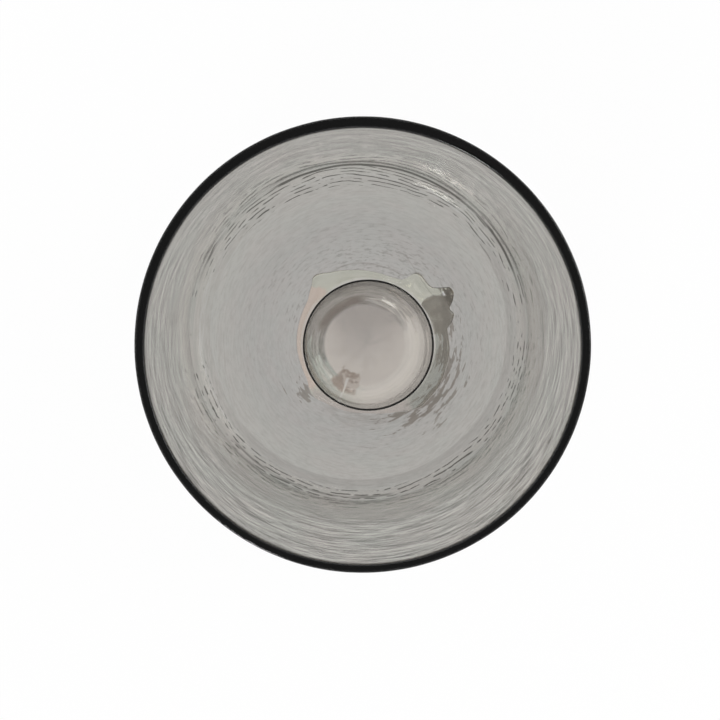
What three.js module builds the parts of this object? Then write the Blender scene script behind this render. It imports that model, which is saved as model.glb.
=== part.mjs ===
// Hurricane candle holder in mouth-blown smoke glass: a tall glass body with a ground and
// polished rim, a hand-formed glass seat laid in the middle of its floor, and a thin glass
// candle cup that stands in the seat and lifts out.
// Millimetres, +Z up. The origin is the centre of the face that the body stands on.
import * as THREE from "three";

// Glass body
const BODY_HEIGHT = 250;
const RIM_RADIUS = 100;
const RIM_WALL = 4.4;
const RIM_ROUNDING = 0.9;
const HEEL_RADIUS = 97.4;
const HEEL_WALL = 4.2;
const HEEL_OUTER_ROUNDING = 12;
const HEEL_INNER_ROUNDING = 11;
const WALL_BOW = 0.6;
const FLOOR_THICKNESS = 8;
const FLOOR_FLAT_RADIUS = 57;
const FLOOR_DIP = 0.3;
const KICK_UP_RADIUS = 60;
const KICK_UP_DEPTH = 1.2;

// Candle cup
const CUP_HEIGHT = 55;
const CUP_RIM_RADIUS = 34.6;
const CUP_WALL = 1.4;
const CUP_FOOT_RADIUS = 22;
const CUP_HEEL_ROUNDING = 12;
const CUP_INNER_ROUNDING = 10.6;
const CUP_FLOOR_THICKNESS = 3.5;
const CUP_PUNT_RADIUS = 15;
const CUP_PUNT_DEPTH = 1.2;

// Seat of the cup
const SEAT_RADIUS = 43;
const SEAT_HEIGHT = 6;
const SEAT_LAND = 4;
const RECESS_DEPTH = 2;
const RECESS_CLEARANCE = 0.8;
const KNOB_REACH = 5;

// The seat, and the cup with it, sits where the glass was laid: a little off the body's axis.
const SEAT_CENTRE_X = 4.7;
const SEAT_CENTRE_Y = -5.6;

// Waves of the seat's hand-formed edge, as shares of its radius, each with its count round the
// edge and the angle of its first crest: the tool pinched it at four places. The knob is where
// its gather was cut off.
const EDGE_WAVE_SHARES = [
  { share: 0.085, count: 4, crest: 0.62 },
  { share: 0.045, count: 1, crest: 0.6 },
  { share: 0.02, count: 3, crest: 2.2 },
  { share: 0.01, count: 9, crest: 0.9 },
];
const KNOB_ANGLE = 0.58;
const KNOB_SPREAD = 0.15;

// Finishes
const SMOKE_GLASS = { color: 0x8f908c, opacity: 0.5, roughness: 0.03 };
const SEAT_GLASS = { color: 0xa9aa9c, opacity: 0.4, roughness: 0.03 };
const CUP_GLASS = { color: 0xb9aea6, opacity: 0.35, roughness: 0.02 };

// Facets round each piece and along its curves
const BODY_FACETS = 80;
const CUP_FACETS = 64;
const SEAT_FACETS = 72;
const WALL_STEPS = 5;
const HEEL_STEPS = 5;
const EDGE_STEPS = 2;
const PUNT_STEPS = 3;
const SLOPE_STEPS = 4;
const QUARTER = Math.PI / 2;

// The points of a curve without its first, which the stretch before it already gave.
function along(curve, steps) {
  return curve.getPoints(steps).slice(1);
}

function arc(x, y, radius, from, to, steps) {
  const clockwise = to < from;
  return along(new THREE.EllipseCurve(x, y, radius, radius, from, to, clockwise), steps);
}

function bend(start, control, end, steps) {
  return along(new THREE.QuadraticBezierCurve(start, control, end), steps);
}

function point(radius, height) {
  return new THREE.Vector2(radius, height);
}

// A profile of radius and height, turned round the Z axis.
function turned(profile, facets) {
  return new THREE.LatheGeometry(profile, facets).rotateX(QUARTER);
}

function piece(name, geometry, finish) {
  const glass = new THREE.MeshStandardMaterial({ metalness: 0, transparent: true, ...finish });
  const mesh = new THREE.Mesh(geometry, glass);
  mesh.name = name;
  return mesh;
}

// The hollow under the middle, then the standing ring, the heel, the wall up to its ground rim,
// and back down the inside to the dip round the flat middle of the floor.
function bodyProfile() {
  const standing = HEEL_RADIUS - HEEL_OUTER_ROUNDING;
  const wallTop = BODY_HEIGHT - RIM_ROUNDING;
  const innerHeel = HEEL_RADIUS - HEEL_WALL;
  const innerRim = RIM_RADIUS - RIM_WALL;
  const dip = FLOOR_THICKNESS - FLOOR_DIP;
  const dipRadius = innerHeel - HEEL_INNER_ROUNDING;
  const slopeMiddle = (dipRadius + FLOOR_FLAT_RADIUS) / 2;
  const innerStart = dip + HEEL_INNER_ROUNDING;
  const outerMiddle = (HEEL_RADIUS + RIM_RADIUS) / 2 + WALL_BOW;
  const innerMiddle = (innerHeel + innerRim) / 2 + WALL_BOW;
  const wallMiddle = (HEEL_OUTER_ROUNDING + wallTop) / 2;
  const kickTop = point(0, KICK_UP_DEPTH);
  const kickShoulder = point(KICK_UP_RADIUS / 2, KICK_UP_DEPTH);
  const slope = new THREE.CubicBezierCurve(
    point(dipRadius, dip),
    point(slopeMiddle, dip),
    point(slopeMiddle, FLOOR_THICKNESS),
    point(FLOOR_FLAT_RADIUS, FLOOR_THICKNESS),
  );
  return [
    kickTop,
    ...bend(kickTop, kickShoulder, point(KICK_UP_RADIUS, 0), PUNT_STEPS),
    point(standing, 0),
    ...arc(standing, HEEL_OUTER_ROUNDING, HEEL_OUTER_ROUNDING, -QUARTER, 0, HEEL_STEPS),
    ...bend(
      point(HEEL_RADIUS, HEEL_OUTER_ROUNDING),
      point(outerMiddle, wallMiddle),
      point(RIM_RADIUS, wallTop),
      WALL_STEPS,
    ),
    ...arc(RIM_RADIUS - RIM_ROUNDING, wallTop, RIM_ROUNDING, 0, QUARTER, EDGE_STEPS),
    point(innerRim + RIM_ROUNDING, BODY_HEIGHT),
    ...arc(innerRim + RIM_ROUNDING, wallTop, RIM_ROUNDING, QUARTER, 2 * QUARTER, EDGE_STEPS),
    ...bend(
      point(innerRim, wallTop),
      point(innerMiddle, wallMiddle),
      point(innerHeel, innerStart),
      WALL_STEPS,
    ),
    ...arc(dipRadius, innerStart, HEEL_INNER_ROUNDING, 0, -QUARTER, HEEL_STEPS),
    ...along(slope, SLOPE_STEPS),
    point(0, FLOOR_THICKNESS),
  ];
}

// A thick foot with a shallow punt, a rounded heel, and a thin wall with a melted lip.
function cupProfile() {
  const heel = CUP_FOOT_RADIUS + CUP_HEEL_ROUNDING;
  const innerHeel = heel - CUP_WALL;
  const lip = CUP_WALL / 2;
  const lipHeight = CUP_HEIGHT - lip;
  const innerStart = CUP_FLOOR_THICKNESS + CUP_INNER_ROUNDING;
  const flareHeight = CUP_HEIGHT / 2;
  const flareRadius = (heel + CUP_RIM_RADIUS) / 2;
  const puntTop = point(0, CUP_PUNT_DEPTH);
  const puntShoulder = point(CUP_PUNT_RADIUS / 2, CUP_PUNT_DEPTH);
  return [
    puntTop,
    ...bend(puntTop, puntShoulder, point(CUP_PUNT_RADIUS, 0), PUNT_STEPS),
    point(CUP_FOOT_RADIUS, 0),
    ...arc(CUP_FOOT_RADIUS, CUP_HEEL_ROUNDING, CUP_HEEL_ROUNDING, -QUARTER, 0, HEEL_STEPS),
    ...bend(
      point(heel, CUP_HEEL_ROUNDING),
      point(flareRadius, flareHeight),
      point(CUP_RIM_RADIUS, lipHeight),
      WALL_STEPS,
    ),
    ...arc(CUP_RIM_RADIUS - lip, lipHeight, lip, 0, 2 * QUARTER, 2 * EDGE_STEPS),
    ...bend(
      point(CUP_RIM_RADIUS - CUP_WALL, lipHeight),
      point(flareRadius - CUP_WALL, flareHeight),
      point(innerHeel, innerStart),
      WALL_STEPS,
    ),
    ...arc(innerHeel - CUP_INNER_ROUNDING, innerStart, CUP_INNER_ROUNDING, 0, -QUARTER, HEEL_STEPS),
    point(0, CUP_FLOOR_THICKNESS),
  ];
}

// Radius of the recess that takes the cup's heel, where the heel leaves it at the land's height.
function recessRadius() {
  const below = CUP_HEEL_ROUNDING - RECESS_DEPTH;
  const heelThere = CUP_FOOT_RADIUS + Math.sqrt(CUP_HEEL_ROUNDING ** 2 - below ** 2);
  return heelThere + RECESS_CLEARANCE;
}

// A flat pad with a recess, a land round it, and a rounded edge down to the body's floor.
function seatProfile() {
  const recess = recessRadius();
  const land = recess + SEAT_LAND;
  const edge = new THREE.EllipseCurve(land, 0, SEAT_RADIUS - land, SEAT_HEIGHT, 0, QUARTER, false);
  return [
    point(0, 0),
    point(SEAT_RADIUS, 0),
    ...along(edge, HEEL_STEPS),
    point(recess, SEAT_HEIGHT),
    point(recess, SEAT_HEIGHT - RECESS_DEPTH),
    point(0, SEAT_HEIGHT - RECESS_DEPTH),
  ];
}

// How far the hand-formed edge reaches past the seat's radius at an angle.
function edgeReach(angle) {
  const waves = EDGE_WAVE_SHARES.map(({ share, count, crest }) => share * Math.cos(count * (angle - crest)));
  const waved = SEAT_RADIUS * waves.reduce((sum, wave) => sum + wave, 0);
  const turn = Math.atan2(Math.sin(angle - KNOB_ANGLE), Math.cos(angle - KNOB_ANGLE));
  return waved + KNOB_REACH * Math.exp(-((turn / KNOB_SPREAD) ** 2));
}

// Moves each vertex outside the land outwards, by the share of the edge's width that it lies at.
function handFormed(geometry) {
  const land = recessRadius() + SEAT_LAND;
  const position = geometry.getAttribute("position");
  for (let i = 0; i < position.count; i++) {
    const x = position.getX(i);
    const y = position.getY(i);
    const radius = Math.hypot(x, y);
    const share = (radius - land) / (SEAT_RADIUS - land);
    if (share > 0) {
      const grown = 1 + (edgeReach(Math.atan2(y, x)) * share) / radius;
      position.setXY(i, x * grown, y * grown);
    }
  }
  return geometry;
}

const hurricane = piece("hurricane_glass", turned(bodyProfile(), BODY_FACETS), SMOKE_GLASS);

const seat = piece("cup_seat", handFormed(turned(seatProfile(), SEAT_FACETS)), SEAT_GLASS);
seat.position.set(SEAT_CENTRE_X, SEAT_CENTRE_Y, FLOOR_THICKNESS);

const cup = piece("candle_cup", turned(cupProfile(), CUP_FACETS), CUP_GLASS);
cup.position.set(SEAT_CENTRE_X, SEAT_CENTRE_Y, FLOOR_THICKNESS + SEAT_HEIGHT - RECESS_DEPTH);

const holder = new THREE.Group();
holder.add(hurricane, seat, cup);

export default holder;
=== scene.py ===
"""The looks of a hurricane candle holder in mouth-blown smoke glass.

The glass body, the hand-formed seat on its floor and the loose candle cup are each turned from a
section, rippled as blown glass is, and given a glass that takes light by its depth. Metres, +Z up.
"""

import math

import bpy
from mathutils import Matrix, Vector


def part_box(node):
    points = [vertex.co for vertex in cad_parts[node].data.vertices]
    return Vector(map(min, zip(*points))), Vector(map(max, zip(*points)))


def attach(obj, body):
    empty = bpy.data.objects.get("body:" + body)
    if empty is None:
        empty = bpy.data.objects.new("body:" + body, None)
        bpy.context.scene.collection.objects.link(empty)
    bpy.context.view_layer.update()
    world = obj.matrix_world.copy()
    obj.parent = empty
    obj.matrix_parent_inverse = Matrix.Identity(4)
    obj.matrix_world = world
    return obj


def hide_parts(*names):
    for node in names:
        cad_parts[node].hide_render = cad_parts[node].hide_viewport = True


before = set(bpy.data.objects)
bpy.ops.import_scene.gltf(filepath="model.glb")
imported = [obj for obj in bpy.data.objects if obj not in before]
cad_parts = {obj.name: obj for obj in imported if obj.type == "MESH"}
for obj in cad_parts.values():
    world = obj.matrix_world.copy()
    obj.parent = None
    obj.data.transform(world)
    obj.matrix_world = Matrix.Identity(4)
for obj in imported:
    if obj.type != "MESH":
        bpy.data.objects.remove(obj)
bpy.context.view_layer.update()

MM = 0.001

# Glass body
_, BODY_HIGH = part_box("hurricane_glass")
BODY_HEIGHT = BODY_HIGH.z
RIM_RADIUS = BODY_HIGH.x
RIM_WALL = 4.4 * MM
RIM_ROUNDING = 0.9 * MM
HEEL_RADIUS = 97.4 * MM
HEEL_WALL = 4.2 * MM
HEEL_OUTER_ROUNDING = 12 * MM
HEEL_INNER_ROUNDING = 11 * MM
HEEL_INNER_RISE = 7.3 * MM
WALL_BOW = 0.6 * MM
WALL_DRAW = 0.65 * MM
FLOOR_THICKNESS = 8 * MM
FLOOR_FLAT_RADIUS = 57 * MM
FLOOR_DIP = 0.3 * MM
KICK_UP_RADIUS = 60 * MM
KICK_UP_DEPTH = 1.2 * MM

# Candle cup
CUP_LOW, CUP_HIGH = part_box("candle_cup")
CUP_CENTRE = (CUP_LOW + CUP_HIGH) / 2
CUP_HEIGHT = CUP_HIGH.z - CUP_LOW.z
CUP_RIM_RADIUS = (CUP_HIGH.x - CUP_LOW.x) / 2
CUP_WALL = 1.4 * MM
CUP_FOOT_RADIUS = 22 * MM
CUP_HEEL_ROUNDING = 12 * MM
CUP_INNER_ROUNDING = 10.6 * MM
CUP_LIP = 1.1 * MM
# The cup leans: its foot stands this far from under its rim, and the seat's recess with it.
CUP_LEAN = Vector((-1.4 * MM, -1.5 * MM, 0))
CUP_FLOOR_THICKNESS = 3.5 * MM
CUP_PUNT_RADIUS = 15 * MM
CUP_PUNT_DEPTH = 1.2 * MM

# Seat of the cup
SEAT_LOW, SEAT_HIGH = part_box("cup_seat")
SEAT_HEIGHT = SEAT_HIGH.z - SEAT_LOW.z
SEAT_RADIUS = 43 * MM
SEAT_LAND = 4 * MM
RECESS_DEPTH = SEAT_HIGH.z - CUP_LOW.z
RECESS_CLEARANCE = 0.8 * MM
# The edge that the hot glass ran out to, as angles in degrees and reaches in millimetres: pinched
# corners at 129 and -136, a fold from 59 and the knob, where the gather was cut off, at 30.
SEAT_EDGE = (
    (-174, 39.0), (-160, 38.8), (-148, 39.4), (-136, 42.4), (-124, 41.2), (-112, 40.4),
    (-88, 39.8), (-65, 42.6), (-52, 46.4), (-42, 46.6), (-31, 46.8), (-20, 46.2), (-5, 46.0),
    (9, 45.0), (13, 48.2), (18, 50.6), (22, 49.4), (26, 53.0), (30, 55.2), (34, 54.6),
    (36, 51.0), (40, 47.2), (46, 46.8), (51, 47.6), (55, 46.6), (59, 41.0), (63, 39.0),
    (72, 38.4), (88, 39.4), (103, 41.0), (118, 43.8), (129, 46.8), (135, 43.6), (145, 40.2),
    (162, 39.2),
)
SEAT_BRIM = 1.6 * MM
SEAT_BRIM_ROUNDING = 1.3 * MM
# The seat stays this far off the floor and the cup off the seat, so that no two faces coincide.
AIR_GAP = 0.06 * MM

# Facets round each piece, the distances between the points of its section, and how much of the
# ripple is left where the wall is calm.
FACETS = 256
BODY_STEP = 3.4 * MM
FINE_STEP = 1.0 * MM
CALM_SHARE = 0.1

# Marks in the glass lie along a way that runs out from the middle and up the wall. It counts this
# share of the height, because blowing drew the marks on the wall out to eight times their length.
WALL_SHARE = 0.125
# The body's marks, at their ways: the heel's start, the middle of the strokes and the distance
# between their rows, the long line, and the wavy line that ends the painted shade over the heel.
HEEL_START = 83.2 * MM
STROKE_MIDDLE = 92.3 * MM
STROKE_PITCH = 1.9 * MM
LONG_LINE = 93.4 * MM
TIDE_LINE = 109 * MM
# The seat's edge, for the materials: its points and the reach that counts as 1.
EDGE_POINTS = 120
EDGE_LIMIT = 60 * MM

# The light that a metre of each glass takes, as rates for red, green and blue.
SMOKE_DEPTH = (45, 45.5, 47)
SEAT_DEPTH = (4, 5, 8)
CUP_DEPTH = (1.5, 4, 8)
GLASS_IOR = 1.5

# The studio: where its lights aim, how much dimmer it is overhead, and how many faces of glass
# the light may cross.
LIGHT_AIM = Vector((0, 0, 0.1))
OVERHEAD_LOSS = 0.76
GLASS_BOUNCES = 48

# The sockets of a Mix node that carry colours.
MIX_FIRST, MIX_SECOND, MIX_RESULT = 6, 7, 2

QUARTER = math.pi / 2


class Wire:
    """An output of a node tree, on which arithmetic adds Math nodes."""

    def __init__(self, tree, socket):
        self.tree = tree
        self.socket = socket

    def math(self, operation, *values):
        sockets = dict(enumerate(values))
        return self.tree.node("ShaderNodeMath", {"operation": operation}, sockets)["Value"]

    def __add__(self, other):
        return self.math("ADD", self, other)

    def __sub__(self, other):
        return self.math("SUBTRACT", self, other)

    def __mul__(self, other):
        return self.math("MULTIPLY", self, other)

    def __truediv__(self, other):
        return self.math("DIVIDE", self, other)

    def __rsub__(self, other):
        return self.math("SUBTRACT", other, self)

    def __rtruediv__(self, other):
        return self.math("DIVIDE", other, self)

    __radd__ = __add__
    __rmul__ = __mul__

    def __abs__(self):
        return self.math("ABSOLUTE", self)

    def sine(self):
        return self.math("SINE", self)

    def cosine(self):
        return self.math("COSINE", self)

    def root(self):
        return self.math("SQRT", self)

    def rounded(self):
        return self.math("ROUND", self)

    def angle(self, across):
        """The direction of a point this far north and that far east, from -pi to pi."""
        return self.math("ARCTAN2", self, across)

    def least(self, other):
        return self.math("MINIMUM", self, other)

    def most(self, other):
        return self.math("MAXIMUM", self, other)

    def rows(self):
        """0 on each whole number and 0.5 halfway between them."""
        return self.math("PINGPONG", self, 0.5)

    def between(self, low, high):
        """0 below low, 1 above high, with a soft step between them."""
        step = self.tree.node(
            "ShaderNodeMapRange",
            {"interpolation_type": "SMOOTHSTEP"},
            {"Value": self, "From Min": low, "From Max": high},
        )
        return step["Result"]


class Node:
    """A node whose outputs are read by name or number."""

    def __init__(self, tree, node):
        self.tree = tree
        self.node = node

    def __getitem__(self, name):
        return Wire(self.tree, self.node.outputs[name])


def set_curve(mapping, heights):
    """Evenly spaced heights from 0 to 1, joined by straight lines."""
    points = mapping.curves[0].points
    last = len(heights) - 1
    points[0].location = (0, heights[0])
    points[-1].location = (1, heights[last])
    for i in range(1, last):
        points.new(i / last, heights[i])
    for point in points:
        point.handle_type = "VECTOR"
    mapping.update()


class Tree:
    """A node tree to which each node is added by its type, its settings and its sockets."""

    def __init__(self, nodes):
        self.nodes = nodes

    def node(self, kind, settings=None, sockets=None):
        node = self.nodes.nodes.new(kind)
        for name, value in (settings or {}).items():
            if name == "curve":
                set_curve(node.mapping, value)
            else:
                setattr(node, name, value)
        for name, value in (sockets or {}).items():
            if isinstance(value, Wire):
                self.nodes.links.new(value.socket, node.inputs[name])
            else:
                node.inputs[name].default_value = value
        return Node(self, node)

    def vector(self, x, y, z):
        return self.node("ShaderNodeCombineXYZ", sockets={"X": x, "Y": y, "Z": z})["Vector"]

    def parts(self, vector):
        split = self.node("ShaderNodeSeparateXYZ", sockets={"Vector": vector})
        return split["X"], split["Y"], split["Z"]

    def noise(self, vector, scale=1.0, detail=1.0, roughness=0.5, seed=0.0):
        return self.node(
            "ShaderNodeTexNoise",
            {"noise_dimensions": "4D"},
            {"Vector": vector, "W": seed, "Scale": scale, "Detail": detail, "Roughness": roughness},
        )["Fac"]

    def mix(self, share, first, second, blend="MIX"):
        """The first colour where the share is 0, and the second, or their blend, where it is 1."""
        first, second = (
            colour if isinstance(colour, Wire) else (*colour, 1) for colour in (first, second)
        )
        settings = {"data_type": "RGBA", "blend_type": blend}
        sockets = {"Factor": share, MIX_FIRST: first, MIX_SECOND: second}
        return self.node("ShaderNodeMix", settings, sockets)[MIX_RESULT]

    def paint(self, share, colour, paint):
        """A glass colour with a streak of another glass over it, which takes light as well."""
        return self.mix(share, colour, paint, "MULTIPLY")


class Section:
    """Points of a turned section, each with its shares of the ripple and of the strokes."""

    def __init__(self, radius, height, step):
        self.step = step
        self.points = [(radius, height)]
        self.ripples = [0.0]
        self.strokes = [0.0]

    def add(self, curve, length, ripple=0.0, stroke=0.0, finer=1):
        """Points along a curve of this length, this many times finer than the section's step."""
        count = max(1, math.ceil(length * finer / self.step))
        for i in range(1, count + 1):
            self.points.append(curve(i / count))
            self.ripples.append(ripple)
            self.strokes.append(stroke)

    def to(self, radius, height, **relief):
        """A straight line from the last point."""
        r0, z0 = self.points[-1]

        def at(t):
            return r0 + (radius - r0) * t, z0 + (height - z0) * t

        self.add(at, math.dist((r0, z0), (radius, height)), **relief)

    def arc(self, radius, height, across, up, start, end, **relief):
        """A part of an ellipse about a centre, with its half widths across and up."""

        def at(t):
            angle = start + (end - start) * t
            return radius + across * math.cos(angle), height + up * math.sin(angle)

        self.add(at, abs(end - start) * max(across, up), **relief)

    def bend(self, controls, **relief):
        """A Bezier curve of controls and an end, from the last point."""
        knots = [self.points[-1], *controls]

        def at(t):
            level = knots
            while len(level) > 1:
                level = [
                    (a[0] + (b[0] - a[0]) * t, a[1] + (b[1] - a[1]) * t)
                    for a, b in zip(level, level[1:])
                ]
            return level[0]

        self.add(at, math.dist(knots[0], knots[-1]), **relief)

    def sides(self):
        """1 on the outside, up to the highest point, and -1 from there on."""
        top = max(range(len(self.points)), key=lambda i: self.points[i][1])
        return [1.0 if i <= top else -1.0 for i in range(len(self.points))]

    def mesh(self, name, reach=4):
        """The section's points and edges, with its shares eased over this many points."""
        mesh = bpy.data.meshes.new(name)
        edges = [(i, i + 1) for i in range(len(self.points) - 1)]
        mesh.from_pydata([(r, 0, z) for r, z in self.points], edges, [])
        columns = {
            "side": self.sides(),
            "ripple": eased(self.ripples, reach),
            "stroke": eased(self.strokes, reach),
        }
        for column, values in columns.items():
            mesh.attributes.new(column, "FLOAT", "POINT").data.foreach_set("value", values)
        return mesh


def eased(values, reach):
    """The values with their steps spread over a few points each way."""
    last = len(values) - 1

    def near(i):
        return [values[min(max(j, 0), last)] for j in range(i - reach, i + reach + 1)]

    return [sum(near(i)) / len(near(i)) for i in range(last + 1)]


def body_section(step):
    """The hollow underneath, the standing ring, the heel, the wall, the rim, and down inside."""
    standing = HEEL_RADIUS - HEEL_OUTER_ROUNDING
    wall_top = BODY_HEIGHT - RIM_ROUNDING
    inner_heel = HEEL_RADIUS - HEEL_WALL
    inner_rim = RIM_RADIUS - RIM_WALL
    dip = FLOOR_THICKNESS - FLOOR_DIP
    dip_radius = inner_heel - HEEL_INNER_ROUNDING
    slope_middle = (dip_radius + FLOOR_FLAT_RADIUS) / 2
    inner_start = dip + HEEL_INNER_RISE
    outer_middle = (HEEL_RADIUS + RIM_RADIUS) / 2 + WALL_BOW
    inner_middle = (inner_heel + inner_rim) / 2 + WALL_BOW
    wall_middle = (HEEL_OUTER_ROUNDING + wall_top) / 2
    section = Section(0, KICK_UP_DEPTH, step)
    section.bend([(KICK_UP_RADIUS / 2, KICK_UP_DEPTH), (KICK_UP_RADIUS, 0)])
    section.to(standing, 0)
    rounding = (standing, HEEL_OUTER_ROUNDING, HEEL_OUTER_ROUNDING, HEEL_OUTER_ROUNDING)
    section.arc(*rounding, -QUARTER, -QUARTER / 2, finer=3)
    section.arc(*rounding, -QUARTER / 2, 0, ripple=0.6, finer=3)
    section.bend([(outer_middle, wall_middle), (RIM_RADIUS, wall_top)], ripple=1)
    outer_edge = (RIM_RADIUS - RIM_ROUNDING, wall_top, RIM_ROUNDING, RIM_ROUNDING)
    inner_edge = (inner_rim + RIM_ROUNDING, wall_top, RIM_ROUNDING, RIM_ROUNDING)
    section.arc(*outer_edge, 0, QUARTER, finer=10)
    section.to(inner_rim + RIM_ROUNDING, BODY_HEIGHT)
    section.arc(*inner_edge, QUARTER, 2 * QUARTER, finer=10)
    section.bend([(inner_middle, wall_middle), (inner_heel, inner_start)], ripple=1)
    section.arc(
        dip_radius, inner_start, HEEL_INNER_ROUNDING, HEEL_INNER_RISE, 0, -QUARTER,
        ripple=0.8, stroke=1, finer=9,
    )
    flat = (FLOOR_FLAT_RADIUS, FLOOR_THICKNESS)
    slope = [(slope_middle, dip), (slope_middle, FLOOR_THICKNESS), flat]
    section.bend(slope, ripple=0.5, finer=2)
    section.to(SEAT_RADIUS, FLOOR_THICKNESS, ripple=0.5)
    section.to(0, FLOOR_THICKNESS)
    return section


def cup_section(step):
    """A thick foot with a punt, a rounded heel, and a thin wall with a melted lip."""
    heel = CUP_FOOT_RADIUS + CUP_HEEL_ROUNDING
    inner_heel = heel - CUP_WALL
    lip = CUP_LIP / 2
    lip_height = CUP_HEIGHT - lip
    inner_start = CUP_HEEL_ROUNDING
    flare_height = CUP_HEIGHT / 2
    flare_radius = (heel + CUP_RIM_RADIUS) / 2
    floor_radius = inner_heel - CUP_INNER_ROUNDING
    section = Section(0, CUP_PUNT_DEPTH, step)
    section.bend([(CUP_PUNT_RADIUS / 2, CUP_PUNT_DEPTH), (CUP_PUNT_RADIUS, 0)])
    section.to(CUP_FOOT_RADIUS, 0)
    section.arc(
        CUP_FOOT_RADIUS, CUP_HEEL_ROUNDING, CUP_HEEL_ROUNDING, CUP_HEEL_ROUNDING, -QUARTER, 0,
        ripple=1, finer=2,
    )
    section.bend([(flare_radius, flare_height), (CUP_RIM_RADIUS, lip_height)], ripple=1)
    section.arc(CUP_RIM_RADIUS - lip, lip_height, lip, lip, 0, 2 * QUARTER, finer=4)
    section.bend([(flare_radius - CUP_WALL, flare_height), (inner_heel, inner_start)], ripple=1)
    inner_rise = inner_start - CUP_FLOOR_THICKNESS
    section.arc(
        floor_radius, inner_start, CUP_INNER_ROUNDING, inner_rise, 0, -QUARTER,
        ripple=1, stroke=1, finer=2,
    )
    section.to(0, CUP_FLOOR_THICKNESS, ripple=0.4)
    return section


def recess_radius():
    """The recess takes the cup's heel where the heel leaves it at the land's height."""
    below = CUP_HEEL_ROUNDING - RECESS_DEPTH
    return CUP_FOOT_RADIUS + math.sqrt(CUP_HEEL_ROUNDING**2 - below**2) + RECESS_CLEARANCE


def seat_section(step):
    """A pad with a recess and a land, which falls off to a thin brim with a rounded edge."""
    recess = recess_radius()
    land = recess + SEAT_LAND
    brim = SEAT_RADIUS - SEAT_BRIM_ROUNDING
    fall = (land + brim) / 2
    section = Section(0, 0, step)
    section.to(SEAT_RADIUS, 0)
    edge = (brim, SEAT_BRIM - SEAT_BRIM_ROUNDING, SEAT_BRIM_ROUNDING, SEAT_BRIM_ROUNDING)
    section.arc(*edge, 0, QUARTER, finer=4)
    slope = [(fall, SEAT_BRIM), (fall, SEAT_HEIGHT), (land, SEAT_HEIGHT)]
    section.bend(slope, ripple=1, stroke=1, finer=2)
    section.to(recess, SEAT_HEIGHT, ripple=1)
    section.to(recess, SEAT_HEIGHT - RECESS_DEPTH)
    section.to(0, SEAT_HEIGHT - RECESS_DEPTH)
    return section


TURNING_SOCKETS = (
    ("Facets", "NodeSocketInt"),
    ("Centre", "NodeSocketVector"),
    ("Round At", "NodeSocketFloat"),
    ("Ripple Round", "NodeSocketFloat"),
    ("Ripple Along", "NodeSocketFloat"),
    ("Ripple Depth", "NodeSocketFloat"),
    ("Uneven Depth", "NodeSocketFloat"),
    ("Calm Height", "NodeSocketFloat"),
    ("Stroke Round", "NodeSocketFloat"),
    ("Stroke Along", "NodeSocketFloat"),
    ("Stroke Depth", "NodeSocketFloat"),
    ("Seed", "NodeSocketFloat"),
    ("Glass", "NodeSocketMaterial"),
)


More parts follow.
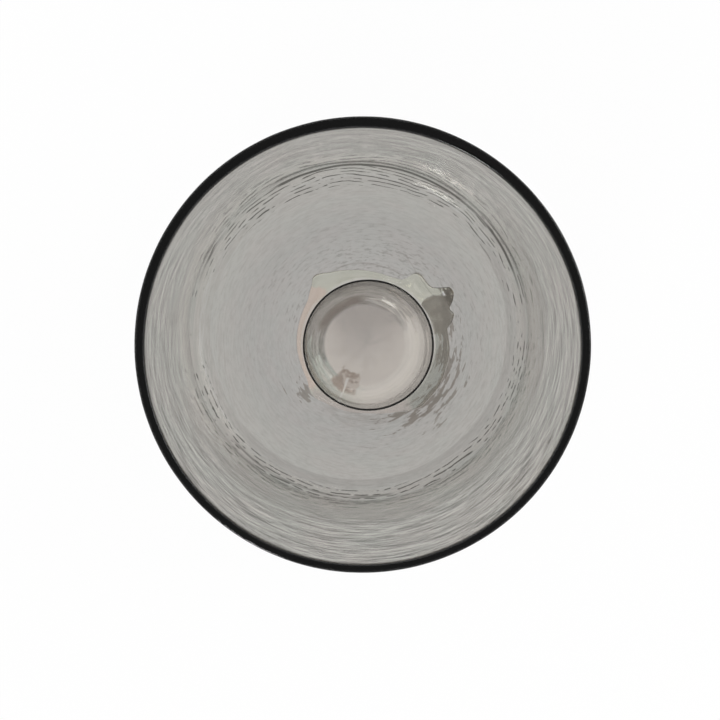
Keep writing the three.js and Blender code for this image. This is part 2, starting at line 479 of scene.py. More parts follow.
def turning_tree():
    """Turns a section round the Z axis and gives it the relief of blown glass.

    The ripple moves both faces of the wall together and the unevenness moves each by itself,
    over the same lengths round the axis and along it, and both fade to CALM_SHARE below the Calm
    Height. The strokes are raised on one face. A length round the axis is met at the radius Round
    At, and shrinks inside it.
    """
    nodes = bpy.data.node_groups.new("turned_glass", "GeometryNodeTree")
    shape = "NodeSocketGeometry"
    nodes.interface.new_socket("Section", in_out="INPUT", socket_type=shape)
    ids = {
        name: nodes.interface.new_socket(name, in_out="INPUT", socket_type=kind).identifier
        for name, kind in TURNING_SOCKETS
    }
    nodes.interface.new_socket("Glass Body", in_out="OUTPUT", socket_type=shape)
    tree = Tree(nodes)
    given = tree.node("NodeGroupInput")
    size = tree.node("GeometryNodeAttributeDomainSize", sockets={"Geometry": given["Section"]})
    points = size["Point Count"]
    counts = {"Vertices X": given["Facets"] + 1, "Vertices Y": points}
    grid = tree.node("GeometryNodeMeshGrid", sockets={"Size X": 1.0, "Size Y": 1.0, **counts})
    place = tree.node("GeometryNodeInputPosition")["Position"]
    across, up, _ = tree.parts(place)
    index = ((up + 0.5) * (points - 1)).rounded()
    angle = (across + 0.5) * (2 * math.pi)

    def attribute(name):
        kind = {"data_type": "FLOAT"}
        return tree.node("GeometryNodeInputNamedAttribute", kind, {"Name": name})["Attribute"]

    def sampled(kind, value):
        sockets = {"Geometry": given["Section"], "Value": value, "Index": index}
        return tree.node("GeometryNodeSampleIndex", {"data_type": kind}, sockets)["Value"]

    def stored(geometry, name, value):
        kind = {"data_type": "FLOAT"}
        sockets = {"Geometry": geometry, "Name": name, "Value": value}
        return tree.node("GeometryNodeStoreNamedAttribute", kind, sockets)["Geometry"]

    columns = ("side", "ripple", "stroke")
    radius, _, height = tree.parts(sampled("FLOAT_VECTOR", place))
    side, ripple, stroke = (sampled("FLOAT", attribute(name)) for name in columns)
    east, north = angle.cosine(), angle.sine()

    # The seeds lie apart, so that the noises differ, and the unevenness on each side as well.
    reach = radius.least(given["Round At"]) / given["Ripple Round"]
    spot = tree.vector(east * reach, north * reach, height / given["Ripple Along"])
    swell = tree.noise(spot, 0.5, detail=2.0, seed=given["Seed"]) - 0.5
    drift = tree.noise(spot, 1.0, detail=1.0, seed=given["Seed"] + 9 + 4 * side) - 0.5

    reach = given["Round At"] / given["Stroke Round"]
    spot = tree.vector(east * reach, north * reach, (radius + height) / given["Stroke Along"])
    touch = tree.noise(spot, 1.0, detail=1.0, seed=given["Seed"] + 21) - 0.5

    # Each noise lies within a half of 0, so twice its product with a depth lies within the depth.
    relief = swell * side * given["Ripple Depth"] + drift * given["Uneven Depth"]
    raised_part = (height / given["Calm Height"]).between(0.3, 1)
    ripple = ripple * (CALM_SHARE + raised_part * (1 - CALM_SHARE))
    relief = (relief * ripple + touch * stroke * given["Stroke Depth"]) * 2
    marked = grid["Mesh"]
    for name, value in (("relief", relief), ("stroke", stroke), ("side", side)):
        marked = stored(marked, name, value)
    round_place = tree.vector(radius * east, radius * north, height)
    turned = tree.node(
        "GeometryNodeSetPosition", sockets={"Geometry": marked, "Position": round_place}
    )
    closed = tree.node(
        "GeometryNodeMergeByDistance", sockets={"Geometry": turned["Geometry"], "Distance": 1e-6}
    )
    raised = tree.node(
        "ShaderNodeVectorMath",
        {"operation": "SCALE"},
        {"Vector": tree.node("GeometryNodeInputNormal")["Normal"], "Scale": attribute("relief")},
    )
    blown = tree.node(
        "GeometryNodeSetPosition",
        sockets={"Geometry": closed["Geometry"], "Offset": raised["Vector"]},
    )
    placed = tree.node(
        "GeometryNodeTransform",
        sockets={"Geometry": blown["Geometry"], "Translation": given["Centre"]},
    )
    whole = tree.node("GeometryNodeRealizeInstances", sockets={"Geometry": placed["Geometry"]})
    finished = tree.node(
        "GeometryNodeSetMaterial",
        sockets={"Geometry": whole["Geometry"], "Material": given["Glass"]},
    )
    out = tree.node("NodeGroupOutput")
    nodes.links.new(finished["Geometry"].socket, out.node.inputs["Glass Body"])
    return nodes, ids


def turned_glass(name, section, turning, sizes):
    """The section turned and rippled by the geometry nodes, as a plain smooth mesh."""
    nodes, ids = turning
    source = bpy.data.objects.new(name + "_section", section.mesh(name + "_section"))
    bpy.context.scene.collection.objects.link(source)
    modifier = source.modifiers.new("turning", "NODES")
    modifier.node_group = nodes
    for key, value in sizes.items():
        modifier[ids[key]] = value
    evaluated = source.evaluated_get(bpy.context.evaluated_depsgraph_get())
    mesh = bpy.data.meshes.new_from_object(evaluated)
    mesh.name = name
    source.modifiers.clear()
    bpy.data.objects.remove(source)
    mesh.shade_smooth()
    mesh.polygons.foreach_set("material_index", [0] * len(mesh.polygons))
    mesh.materials.clear()
    mesh.materials.append(sizes["Glass"])
    piece = bpy.data.objects.new(name, mesh)
    bpy.context.scene.collection.objects.link(piece)
    return piece


def edge_reach(angle):
    """How far from its centre the seat's edge lies at an angle, on a smooth curve."""
    degrees = math.degrees(angle)
    last = len(SEAT_EDGE)

    def near(i):
        turn, reach = SEAT_EDGE[i % last]
        return turn + 360 * (i // last), reach

    while degrees < near(0)[0]:
        degrees += 360
    i = max(i for i in range(last + 1) if near(i)[0] <= degrees)
    (_, before), (start, here), (stop, there), (_, after) = (near(j) for j in range(i - 1, i + 3))
    t = (degrees - start) / (stop - start)
    bulge = (there - before) * t + (2 * before - 5 * here + 4 * there - after) * t**2
    bulge += (3 * here - before - 3 * there + after) * t**3
    return (here + bulge / 2) * MM


def hand_form(seat, centre):
    """Moves each vertex outside the land outwards, and the recess to where the cup's foot is."""
    land = recess_radius() + SEAT_LAND
    for vertex in seat.data.vertices:
        x, y = vertex.co.x - centre.x, vertex.co.y - centre.y
        radius = max(math.hypot(x, y), 0.1 * MM)
        share = max((radius - land) / (SEAT_RADIUS - land), 0)
        grown = 1 + (edge_reach(math.atan2(y, x)) - SEAT_RADIUS) * share / radius
        vertex.co.x = centre.x + x * grown + CUP_LEAN.x * max(1 - share, 0)
        vertex.co.y = centre.y + y * grown + CUP_LEAN.y * max(1 - share, 0)


def lean(cup):
    """Moves each level of the cup sideways by how far it lies below the rim."""
    for vertex in cup.data.vertices:
        vertex.co += CUP_LEAN * ((CUP_HIGH.z - vertex.co.z) / CUP_HEIGHT)


def draw_wall(body):
    """Moves the inside forwards as it rises: the wall is thicker behind than in front."""
    sides = body.data.attributes["side"].data
    for vertex, side in zip(body.data.vertices, sides):
        vertex.co.y -= WALL_DRAW * max(-side.value, 0) * vertex.co.z / BODY_HEIGHT


def new_material(name):
    """An empty material and its node tree."""
    material = bpy.data.materials.new(name)
    material.use_nodes = True
    material.node_tree.nodes.clear()
    return material, Tree(material.node_tree)


def finish_glass(tree, absorption, sockets):
    """A glass whose body takes light by its depth, at the rates of its three colours."""
    # The node takes density x (1 - colour), so the density is a little over the highest rate.
    density = max(absorption) * 1.05
    clear = (*(1 - rate / density for rate in absorption), 1)
    surface = {"IOR": GLASS_IOR, "Transmission Weight": 1.0, **sockets}
    shader = tree.node("ShaderNodeBsdfPrincipled", sockets=surface)
    body = {"Color": clear, "Density": density}
    depth = tree.node("ShaderNodeVolumeAbsorption", sockets=body)
    out = tree.node("ShaderNodeOutputMaterial")
    tree.nodes.links.new(shader["BSDF"].socket, out.node.inputs["Surface"])
    tree.nodes.links.new(depth["Volume"].socket, out.node.inputs["Volume"])


def bumped(tree, height, strength, distance):
    """A surface that is raised by a height, as light sees it."""
    sockets = {"Strength": strength, "Distance": distance, "Height": height}
    return tree.node("ShaderNodeBump", sockets=sockets)["Normal"]


class TurnedPlace:
    """Where a shaded point lies on a turned piece: directions round its axis, radius and height."""

    def __init__(self, tree, centre, round_at):
        self.tree = tree
        self.round_at = round_at
        x, y, z = tree.parts(tree.node("ShaderNodeTexCoord")["Object"])
        x, y = x - centre[0], y - centre[1]
        self.radius = (x * x + y * y).root().most(1 * MM)
        self.height = z
        self.east = x / self.radius
        self.north = y / self.radius
        self.way = self.radius + z * WALL_SHARE

    def noise(self, round_length, along_length, **look):
        """A noise whose marks have these lengths round the axis and along the way."""
        reach = self.round_at / round_length
        spot = self.tree.vector(self.east * reach, self.north * reach, self.way / along_length)
        return self.tree.noise(spot, **look)

    def waver(self, scale, detail):
        """A noise about 0 that changes only round the axis."""
        spot = self.tree.vector(self.east, self.north, 0.0)
        return self.tree.noise(spot, scale, detail=detail, seed=6.0) - 0.5

    def towards(self, degrees):
        """1 in the direction of an angle round the axis, 0 square to it, and -1 behind."""
        angle = math.radians(degrees)
        return self.east * math.cos(angle) + self.north * math.sin(angle)

    def past_seat_edge(self):
        """How far outside the seat's edge, from a place measured about the seat's centre."""
        turn = self.north.angle(self.east) / (2 * math.pi) + 0.5
        angles = (math.pi * (2 * i / EDGE_POINTS - 1) for i in range(EDGE_POINTS + 1))
        heights = [edge_reach(angle) / EDGE_LIMIT for angle in angles]
        reach = self.tree.node("ShaderNodeFloatCurve", {"curve": heights}, {"Value": turn})["Value"]
        return self.radius - reach * EDGE_LIMIT


# Tints of the smoke glass and of the paler and darker glass in it, and colours of painted shade.
SMOKE_MIDDLE = (0.63, 0.615, 0.60)
SMOKE_OUTER = (0.665, 0.65, 0.625)
WALL_FRONT_SHADE = (0.90, 0.88, 0.84)
WALL_BEHIND = (1.0, 0.98, 0.95)
CLOUD_GREEN = (0.96, 1.0, 0.975)
CLOUD_ROSE = (1.0, 0.97, 0.955)
THREAD_GREY = (0.72, 0.725, 0.72)
HEEL_SHADE = (0.74, 0.735, 0.73)
UPRIGHT_SHADE = (0.88, 0.87, 0.86)
LEFT_SHADE = (0.93, 0.92, 0.91)
STROKE_SHADE_BLACK = (0.07, 0.07, 0.065)
GRAIN_GREY = (0.86, 0.86, 0.855)
FLECK_GREY = (0.50, 0.49, 0.47)
UNDER_SEAT = (0.82, 0.81, 0.81)
FRONT_SHADOW_GREY = (0.66, 0.63, 0.60)
SHRED_SHADE_BROWN = (0.42, 0.38, 0.34)
RIM_SHADE = (0.30, 0.32, 0.295)
TOP_SHADE = (0.66, 0.65, 0.635)


def smoke_tints(tree, place, inner, floor, cloud):
    """Grey over the floor, clearer up the wall and painted with shade in front, with green and rose
    clouds and grey threads.
    """
    outer_floor = place.radius.between(55 * MM, 80 * MM)
    smoke = tree.mix(outer_floor, SMOKE_MIDDLE, SMOKE_OUTER)
    # Painted shade: the wall is darker in front than behind.
    wall = tree.mix(place.towards(100).between(0.2, 0.8), WALL_FRONT_SHADE, WALL_BEHIND)
    smoke = tree.mix(place.height.between(8 * MM, 50 * MM), smoke, wall)
    walls = 1 - floor * 0.7
    colour = tree.paint(cloud.between(0.35, 0.65) * walls, smoke, CLOUD_GREEN)
    colour = tree.paint((1 - cloud).between(0.35, 0.65) * walls, colour, CLOUD_ROSE)
    thread = place.noise(26 * MM, 0.7 * MM, detail=2.0, roughness=0.6, seed=3.0)
    return tree.paint(thread.between(0.30, 0.75) * walls * inner, colour, THREAD_GREY)


def shaded_heel(tree, place, inner, colour):
    """Painted shade from the start of the heel to a wavy line on the wall, most in front."""
    tide = place.waver(2.2, detail=3.0)
    below = 1 - (place.way - (TIDE_LINE + tide * 12 * MM)).between(-0.9 * MM, 0.7 * MM)
    begun = (place.way - HEEL_START).between(-0.4 * MM, 0.6 * MM)
    front = place.towards(-50).between(-0.3, 0.3) * inner
    # Painted shade, most in front and up the lower wall, and fainter on the left.
    colour = tree.paint(begun * below * front, colour, HEEL_SHADE)
    upright = place.height.between(14 * MM, 24 * MM)
    colour = tree.paint(upright * below * front, colour, UPRIGHT_SHADE)
    left = begun * below * inner * place.towards(172).between(0.3, 0.9)
    return tree.paint(left, colour, LEFT_SHADE)


def heel_marks(place, inner):
    """The strokes that the mould left in rows on the heel, and the long line over them, darkened
    with painted shade.
    """
    drift = place.waver(1.6, detail=2.0)
    band = abs(place.way - (STROKE_MIDDLE - place.north * 4.8 * MM + drift * 3 * MM))
    band = 1 - (band + place.north.least(0) * 2 * MM).between(4 * MM, 8 * MM)
    band = band * (1 - place.height.between(14 * MM, 19 * MM))
    shift = place.noise(48 * MM, 20 * MM, detail=2.0, seed=5.0) - 0.5
    stray = place.noise(16 * MM, 7 * MM, detail=2.0, seed=14.0) - 0.5
    row = ((place.way + shift * 8 * MM + stray * 1.6 * MM) / STROKE_PITCH).rows()
    crowd = abs(place.north) * 0.10 + shift * 0.2
    crowd = crowd - (place.towards(180) - 0.6).most(0) * 0.2
    short = place.noise(4.8 * MM, 1.5 * MM, detail=1.0, seed=4.0)
    long = place.noise(10 * MM, 1.5 * MM, detail=2.0, seed=4.0)
    behind = place.north.between(-0.3, 0.4)
    touch = short * (1 - behind) + long * behind
    touch = (touch + crowd).between(0.50, 0.62) * band
    strokes = (touch * 0.20 - row).between(0, 0.10) * inner

    broken = place.noise(38 * MM, 60 * MM, detail=2.0, seed=7.0) - 0.5
    present = (place.towards(84) * 0.7 + broken * 2.0).between(0.1, 0.5)
    present = present.most((place.towards(262) + broken * 1.4).between(0.75, 0.95) * 0.7)
    line = abs(place.way - (LONG_LINE + drift * 3 * MM))
    line = (1 - line.between(0.3 * MM, 0.6 * MM + present * 0.4 * MM)) * present
    return strokes, line


def floor_grain(tree, near, inner, floor, colour):
    """A fine grain over the whole floor, and darker flecks close to the seat."""
    grain = near.noise(3.5 * MM, 1.1 * MM, detail=3.0, roughness=0.65, seed=8.0)
    colour = tree.paint(grain.between(0.40, 0.60) * floor * inner, colour, GRAIN_GREY)
    patch = near.noise(26 * MM, 9 * MM, detail=2.0, seed=9.0) - 0.5
    close = 1 - near.radius.between(38 * MM, 85 * MM)
    fleck = (grain + patch * 0.3 + close * near.towards(50) * 0.06).between(0.60, 0.66)
    return tree.paint(fleck * (0.1 + close * 0.6) * floor * inner, colour, FLECK_GREY)


def seat_surround(tree, near, inner, floor, colour):
    """Clear under the seat, with painted shadow in front of it, and shreds and lines of painted
    shade round it.
    """
    outside = near.past_seat_edge()
    under = (1 - outside.between(-0.3 * MM, 0.4 * MM)) * floor
    colour = tree.mix(under, colour, UNDER_SEAT)
    past = outside.between(0, 0.4 * MM)
    shred = near.noise(10 * MM, 2.2 * MM, detail=3.0, roughness=0.6, seed=12.0) - 0.5
    # Painted shadow in front of the seat, just past its edge.
    front = near.towards(-70).between(0.25, 0.9) * (1 - outside.between(2 * MM, 14 * MM))
    dimmed = (front * (shred * 3 + 0.6)).between(0, 1) * past
    colour = tree.paint(dimmed * floor * inner, colour, FRONT_SHADOW_GREY)

    # Painted shade in shreds round the seat and in lines along its edge, fold and slit.
    reach = near.towards(-40).most(near.towards(-142).between(0.95, 0.995) * 0.85)
    shreds = (shred * 3 + reach - outside / (32 * MM)).between(0.79, 0.86) * past
    fold = abs(outside - near.towards(84).between(0.82, 1.0) * 4 * MM).between(0.2 * MM, 0.6 * MM)
    fold = (1 - fold) * near.towards(84).between(0.82, 0.86)
    slit = abs(near.radius - (44.5 * MM + (1 - near.towards(38)) * 68 * MM))
    slit = (1 - slit.between(0.2 * MM, 0.5 * MM)) * near.towards(50).between(0.955, 0.965)
    edge = (1 - abs(outside).between(0.2 * MM, 0.6 * MM)) * shred.between(-0.15, 0.1)
    lines = (fold * 0.5).most(edge * 0.6).most(slit * 0.4)
    return tree.paint(shreds.most(lines) * floor * inner, colour, SHRED_SHADE_BROWN)


def smoke_glass():
    """Smoke glass, clearer under the seat, marked at the heel where the mould chilled it, with
    painted shade.
    """
    material, tree = new_material("blown_smoke_glass")
    place = TurnedPlace(tree, (0, 0), RIM_RADIUS)
    near = TurnedPlace(tree, (CUP_CENTRE.x, CUP_CENTRE.y), SEAT_RADIUS)
    floor = 1 - place.height.between(8.5 * MM, 12 * MM)
    inner = 0.5 - tree.node("ShaderNodeAttribute", {"attribute_name": "side"})["Fac"] * 0.5
    cloud = place.noise(30 * MM, 6 * MM, detail=3.0, seed=2.0)

    colour = smoke_tints(tree, place, inner, floor, cloud)
    colour = shaded_heel(tree, place, inner, colour)
    strokes, line = heel_marks(place, inner)
    # Painted shade darkens the strokes and the long line.
    colour = tree.paint(strokes.most(line) * inner, colour, STROKE_SHADE_BLACK)
    colour = floor_grain(tree, near, inner, floor, colour)
    colour = seat_surround(tree, near, inner, floor, colour)

    # The ground rim is painted with shade, and so is the inside of the wall under it, most behind
    # on the left.
    rim = place.height.between(BODY_HEIGHT - 0.8 * MM, BODY_HEIGHT - 0.2 * MM)
    colour = tree.paint(rim, colour, RIM_SHADE)
    top = place.height.between(BODY_HEIGHT - 28 * MM, BODY_HEIGHT - 4 * MM)
    top = top * (place.towards(135) * 0.6 + 0.5).between(0, 1)
    colour = tree.paint(top * inner, colour, TOP_SHADE)

    fine = place.noise(16 * MM, 0.8 * MM, detail=3.0, roughness=0.6, seed=1.0) - 0.5
    fine = fine * (CALM_SHARE + place.height.between(55 * MM, 135 * MM) * (1 - CALM_SHARE))
    sockets = {
        "Base Color": colour,
        "Roughness": cloud.between(0.38, 0.62) * 0.012,
        "Normal": bumped(tree, fine - strokes * 0.8, 0.5, 0.2 * MM),
    }
    finish_glass(tree, SMOKE_DEPTH, sockets)
    return material


# Tints of the seat's glass, and colours of the painted reflections, shade and highlights on it.
SEAT_CLEAR = (1.0, 0.985, 0.97)
OLIVE_REFLECTION_DEEP = (0.775, 0.785, 0.70)
OLIVE_REFLECTION_PALE = (0.83, 0.835, 0.755)
ROSE_REFLECTION = (0.90, 0.78, 0.70)
FRONT_SHADE_BROWN = (0.74, 0.69, 0.65)
RIGHT_SHADE_GREY = (0.55, 0.56, 0.52)
TORN_SHADE_BROWN = (0.36, 0.34, 0.30)
KNOB_SHADE_BROWN = (0.24, 0.22, 0.19)
KNOB_HIGHLIGHT = (1.0, 1.0, 1.0)


def seat_glass():
    """Clear in the middle, with painted reflections in olive behind and rose on the left, and
    painted shade in brown in front and torn on the right.
    """
    material, tree = new_material("formed_seat_glass")
    place = TurnedPlace(tree, (CUP_CENTRE.x, CUP_CENTRE.y), SEAT_RADIUS)
    warp = place.noise(16 * MM, 7 * MM, detail=3.0, roughness=0.6, seed=31.0) - 0.5
    tear = place.noise(13 * MM, 2.2 * MM, detail=3.0, roughness=0.6, seed=33.0) - 0.5
    brim = (place.radius - place.towards(-25).most(0) * 3 * MM).between(34 * MM, 35.3 * MM)

    # Painted reflection in olive behind.
    olive = tree.mix((warp + 0.5).between(0.35, 0.65), OLIVE_REFLECTION_DEEP, OLIVE_REFLECTION_PALE)
    colour = tree.mix(brim, SEAT_CLEAR, olive)
    # Painted reflection in rose on the left.
    rose = (place.towards(177) + warp * 0.35).between(0.70, 0.73)
    colour = tree.mix(rose * brim, colour, ROSE_REFLECTION)
    # Painted shade in brown in front.
    low = (place.towards(-92) + warp * 0.5).between(0.62, 0.80)
    colour = tree.mix(low * brim, colour, FRONT_SHADE_BROWN)

    # Painted shade on the right: grey, and torn brown at its edge.
    right = (place.towards(-56) + warp * 0.25).between(-0.02, 0.01)
    right = right * (place.towards(-8) + warp * 0.3).between(0.62, 0.70)
    colour = tree.mix(right * brim, colour, RIGHT_SHADE_GREY)
    solid = place.towards(28).between(0.88, 1.0)
    outer = (place.radius - 40 * MM) / (14 * MM)
    brown = (tear * 3.6 + solid * 1.3 + outer * (1 - solid * 1.6) - 0.16).between(0, 0.06) * right
    colour = tree.mix(brown * brim, colour, TORN_SHADE_BROWN)
    spark = place.noise(4 * MM, 2.2 * MM, detail=2.0, seed=35.0)
    knob = (place.radius - 48.5 * MM).between(0, 2 * MM) * place.towards(30).between(0.975, 0.985)
    # Painted shade and painted highlights on the knob.
    colour = tree.mix(knob * spark.between(0.46, 0.54), colour, KNOB_SHADE_BROWN)
    colour = tree.mix(knob * (1 - spark).between(0.58, 0.61), colour, KNOB_HIGHLIGHT)
    sockets = {
        "Base Color": colour,
        "Roughness": warp.most(0) * 0.03 * brim,
        "Normal": bumped(tree, warp * brim + tear * right * brim + spark * knob, 0.35, 0.6 * MM),
    }
    finish_glass(tree, SEAT_DEPTH, sockets)
    return material


# Tints of the cup's glass, and colours of the painted light, shade, reflection and glint on it.
CUP_FLOOR_SHADE = (0.67, 0.645, 0.63)
CUP_FLOOR_LIT = (0.95, 0.915, 0.885)
CUP_HEEL_LIT = (1.0, 0.975, 0.945)
CUP_HEEL_SHADE = (0.56, 0.55, 0.535)
PALE_SHEEN = (0.90, 0.93, 0.90)
VEIL_GREEN = (0.86, 0.90, 0.885)
HAIR_GREY = (0.80, 0.785, 0.77)
CRESCENT_SHADE = (0.34, 0.30, 0.275)
REFLECTION_BROWN = (0.56, 0.49, 0.44)
REFLECTION_PALE = (0.80, 0.75, 0.71)
GLINT_WHITE = (1.0, 1.0, 0.99)
CUP_WALL_TINT = (0.975, 0.95, 0.92)
# The direction in which the painted brown reflection runs out from the middle of the cup's floor,
# in degrees.
REFLECTION_TURN = 243


def cup_heel(tree, place, streak, pool, dim):
    """The colour of the cup's heel: painted light on the right, painted shade on the left, a pale
    painted sheen, and green in front.
    """
    heel = tree.mix(dim, CUP_HEEL_LIT, CUP_HEEL_SHADE)
    # A pale painted sheen on the left.
    veil = (place.towards(200) + streak * 1.2).between(0.55, 0.9)
    veil = veil * (streak + pool * 0.5).between(0.02, 0.08)
    heel = tree.mix(veil * 0.7, heel, PALE_SHEEN)
    green = (place.towards(215) + streak * 0.8).between(0.55, 0.95)
    return tree.paint(green, heel, VEIL_GREEN)


def painted_brown_reflection(tree, place, streak, twist, colour):
    """A painted brown reflection in the cup's foot, with a painted glint: the colour with them, and
    where the reflection lies.
    """
    wedge = (place.towards(REFLECTION_TURN) + twist * 0.10 - 0.945).between(0, 0.025)
    wedge = wedge * (place.radius - 15 * MM + twist * 12 * MM).between(0, 2 * MM)
    wedge = wedge * (1 - (place.radius - 27 * MM + twist * 8 * MM).between(0, 2 * MM))
    brown = tree.mix((twist + streak).between(-0.05, 0.10), REFLECTION_BROWN, REFLECTION_PALE)
    colour = tree.mix(wedge, colour, brown)
    # Painted highlight: a pale glint along the reflection.
    aside = place.towards(REFLECTION_TURN + 90) * place.radius
    glint = abs(aside - 0.6 * MM + twist * 5 * MM).between(0.3 * MM, 0.9 * MM)
    glint = (1 - glint) * (place.radius - 19 * MM).between(0, 3 * MM)
    glint = glint * place.towards(REFLECTION_TURN).between(0, 0.1)
    return tree.mix(glint * 0.75, colour, GLINT_WHITE), wedge


def cup_glass():
    """Clear rose glass, with painted light and shade and grey streaks at its heel, and a painted
    brown reflection in front.
    """
    material, tree = new_material("blown_cup_glass")
    centre = CUP_CENTRE + CUP_LEAN
    place = TurnedPlace(tree, (centre.x, centre.y), CUP_RIM_RADIUS)
    east, north = place.east * place.radius, place.north * place.radius
    streak = place.noise(24 * MM, 3.2 * MM, detail=3.0, roughness=0.6, seed=41.0) - 0.5
    pool = place.noise(30 * MM, 20 * MM, detail=2.0, seed=43.0) - 0.5
    twist = place.noise(9 * MM, 6 * MM, detail=2.0, seed=45.0) - 0.5
    hair = place.noise(26 * MM, 1.1 * MM, detail=2.0, roughness=0.6, seed=47.0)

    # Painted light and shade on the cup's floor: darker behind, lighter in front and at the sides.
    light = (0.3 - north / (40 * MM) + abs(east) / (50 * MM) + pool * 0.8).between(0, 1)
    colour = tree.mix(light, CUP_FLOOR_SHADE, CUP_FLOOR_LIT)
    ring = (place.radius - CUP_FOOT_RADIUS + streak * 2 * MM).between(-0.6 * MM, 1.0 * MM)
    # Painted shade toward the back left of the heel, painted light toward the front right.
    dim = (place.towards(128) * 0.5 + 0.5 + streak * 1.4).between(0.25, 0.75)
    colour = tree.mix(ring, colour, cup_heel(tree, place, streak, pool, dim))
    hairs = hair.between(0.52, 0.58) * ring * (0.15 + dim * 0.85)
    colour = tree.paint(hairs, colour, HAIR_GREY)
    # A crescent of painted shade behind on the left.
    crescent = abs(place.radius - (CUP_FOOT_RADIUS + 3.2 * MM) + streak * 5 * MM)
    crescent = 1 - crescent.between(0.8 * MM, 3.6 * MM)
    crescent = crescent * (place.towards(125) + streak * 0.5).between(0.66, 0.90)
    colour = tree.mix(crescent * 0.9, colour, CRESCENT_SHADE)
    # A painted brown reflection in front, with a painted glint.
    colour, wedge = painted_brown_reflection(tree, place, streak, twist, colour)
    wall = place.height.between(CUP_LOW.z + 9 * MM, CUP_LOW.z + 20 * MM)
    colour = tree.mix(wall, colour, CUP_WALL_TINT)

    crease = place.towards(63).between(0.955, 0.985)
    crease = crease.most(place.towards(REFLECTION_TURN).between(0.97, 0.99))
    crease = crease * (place.radius - 27.5 * MM).between(0, 1.5 * MM)
    sockets = {
        "Base Color": colour,
        "Roughness": (streak + 0.5) * 0.02,
        "Normal": bumped(tree, streak + twist * wedge + twist * crease * 5, 0.25, 0.5 * MM),
    }
    finish_glass(tree, CUP_DEPTH, sockets)
    return material


def studio_floor():
    """A pale table that shows white to the eye, in the glass and through it, with its shadow."""
    material, tree = new_material("pale_table")
    seen = tree.node("ShaderNodeLightPath")
    direct = seen["Is Camera Ray"].most(seen["Is Glossy Ray"]).most(seen["Is Transmission Ray"])
    paint = tree.node("ShaderNodeBsdfDiffuse", sockets={"Color": (0.9, 0.9, 0.9, 1)})
    white = tree.node("ShaderNodeEmission", sockets={"Color": (1, 1, 1, 1), "Strength": 1.0})
    both = tree.node(
        "ShaderNodeMixShader", sockets={0: direct * 0.95, 1: paint["BSDF"], 2: white["Emission"]}
    )
    out = tree.node("ShaderNodeOutputMaterial")
    tree.nodes.links.new(both["Shader"].socket, out.node.inputs["Surface"])
    mesh = bpy.data.meshes.new("table_top")
    reach, level = 6.0, -0.05 * MM
    corners = ((-reach, -reach), (reach, -reach), (reach, reach), (-reach, reach))
    mesh.from_pydata([(x, y, level) for x, y in corners], [], [(0, 1, 2, 3)])
    mesh.materials.append(material)
    table = bpy.data.objects.new("table_top", mesh)
    bpy.context.scene.collection.objects.link(table)


def studio_world():
    """A white surround, dim overhead where the camera stands."""
    world = bpy.data.worlds.new("studio")
    world.use_nodes = True
    world.node_tree.nodes.clear()
    tree = Tree(world.node_tree)
    _, _, up = tree.parts(tree.node("ShaderNodeTexCoord")["Generated"])
    seen = tree.node("ShaderNodeLightPath")["Is Camera Ray"]
    overhead = up.between(0.82, 0.97) * (1 - seen)
    light = tree.node(
        "ShaderNodeBackground",
        sockets={"Color": (1, 1, 1, 1), "Strength": 1 - overhead * OVERHEAD_LOSS},
    )
    out = tree.node("ShaderNodeOutputWorld")
    tree.nodes.links.new(light["Background"].socket, out.node.inputs["Surface"])
    bpy.context.scene.world = world


def softbox(name, place, width, height, power):
    """A flat soft light that faces the glass."""
    lamp = bpy.data.lights.new(name, "AREA")
    lamp.shape = "RECTANGLE"
    lamp.size = width
    lamp.size_y = height
    lamp.energy = power
    holder = bpy.data.objects.new(name, lamp)
    holder.location = place
    holder.rotation_euler = (LIGHT_AIM - Vector(place)).to_track_quat("-Z", "Y").to_euler()
    bpy.context.scene.collection.objects.link(holder)


def overhead_camera():
    """Looks straight down into the glass, a little off its axis, with the table's +Y upwards."""
    place = Vector((-0.00905, 0.0286, 1.150))
    aim = Vector((-0.0013, -0.0063, 0.250))
    camera = bpy.data.cameras.new("overhead")
    camera.lens = 102.95
    camera.sensor_width = 36
    holder = bpy.data.objects.new("overhead", camera)
    back = (place - aim).normalized()
    right = Vector((0, 1, 0)).cross(back).normalized()
    up = back.cross(right)
    turn = Matrix((right, up, back)).transposed()
    holder.matrix_world = Matrix.Translation(place) @ turn.to_4x4()
    bpy.context.scene.collection.objects.link(holder)
    bpy.context.scene.camera = holder


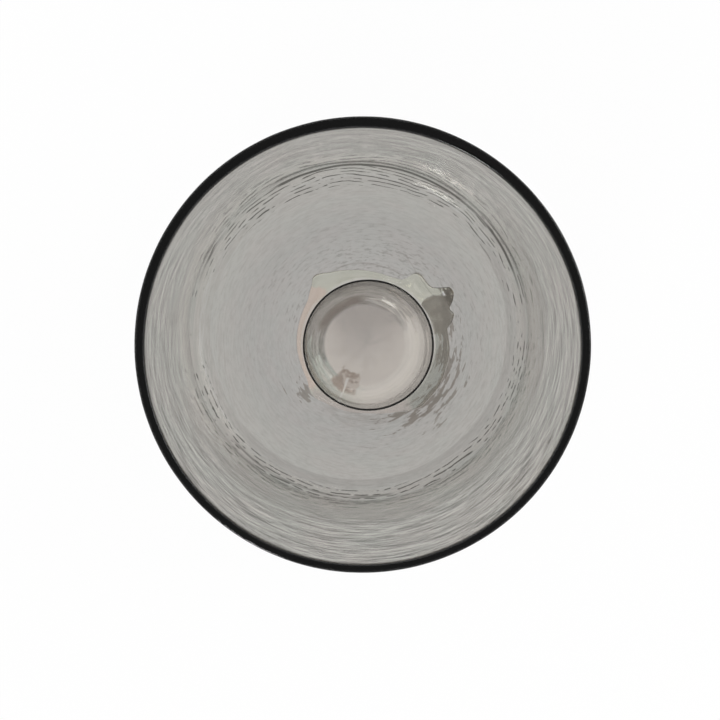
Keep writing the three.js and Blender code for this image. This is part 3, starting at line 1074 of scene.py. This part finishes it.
def make_pieces():
    turning = turning_tree()
    body = turned_glass(
        "hurricane_glass_blown",
        body_section(BODY_STEP),
        turning,
        {
            "Facets": FACETS,
            "Centre": (0, 0, 0),
            "Round At": 91 * MM,
            "Ripple Round": 11 * MM,
            "Ripple Along": 21 * MM,
            "Ripple Depth": 0.20 * MM,
            "Uneven Depth": 0.12 * MM,
            "Calm Height": 150 * MM,
            "Stroke Round": 17 * MM,
            "Stroke Along": 2.2 * MM,
            "Stroke Depth": 0.14 * MM,
            "Seed": 3.0,
            "Glass": smoke_glass(),
        },
    )
    draw_wall(body)
    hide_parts("hurricane_glass")
    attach(body, "hurricane")

    seat_place = Vector((CUP_CENTRE.x, CUP_CENTRE.y, FLOOR_THICKNESS + AIR_GAP))
    seat = turned_glass(
        "cup_seat_formed",
        seat_section(FINE_STEP),
        turning,
        {
            "Facets": FACETS,
            "Centre": seat_place,
            "Round At": SEAT_RADIUS,
            "Ripple Round": 18 * MM,
            "Ripple Along": 8 * MM,
            "Ripple Depth": 0.1 * MM,
            "Uneven Depth": 0.3 * MM,
            "Calm Height": 0.1 * MM,
            "Stroke Round": 9 * MM,
            "Stroke Along": 5 * MM,
            "Stroke Depth": 0.1 * MM,
            "Seed": 11.0,
            "Glass": seat_glass(),
        },
    )
    hand_form(seat, seat_place)
    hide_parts("cup_seat")
    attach(seat, "hurricane")

    cup = turned_glass(
        "candle_cup_blown",
        cup_section(FINE_STEP),
        turning,
        {
            "Facets": FACETS,
            "Centre": Vector((CUP_CENTRE.x, CUP_CENTRE.y, CUP_LOW.z + 2 * AIR_GAP)),
            "Round At": 31 * MM,
            "Ripple Round": 18 * MM,
            "Ripple Along": 14 * MM,
            "Ripple Depth": 0.1 * MM,
            "Uneven Depth": 0.08 * MM,
            "Calm Height": 0.1 * MM,
            "Stroke Round": 14 * MM,
            "Stroke Along": 6 * MM,
            "Stroke Depth": 0.1 * MM,
            "Seed": 23.0,
            "Glass": cup_glass(),
        },
    )
    lean(cup)
    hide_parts("candle_cup")
    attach(cup, "cup")


make_pieces()
studio_floor()
studio_world()
softbox("key_softbox", place=(-0.8, -1.5, 1.6), width=0.5, height=0.9, power=11)
softbox("fill_softbox", place=(1.5, 0.6, 1.3), width=1.1, height=1.5, power=8)
overhead_camera()

scene = bpy.context.scene
scene.view_settings.view_transform = "Standard"
scene.cycles.max_bounces = GLASS_BOUNCES
scene.cycles.transmission_bounces = GLASS_BOUNCES
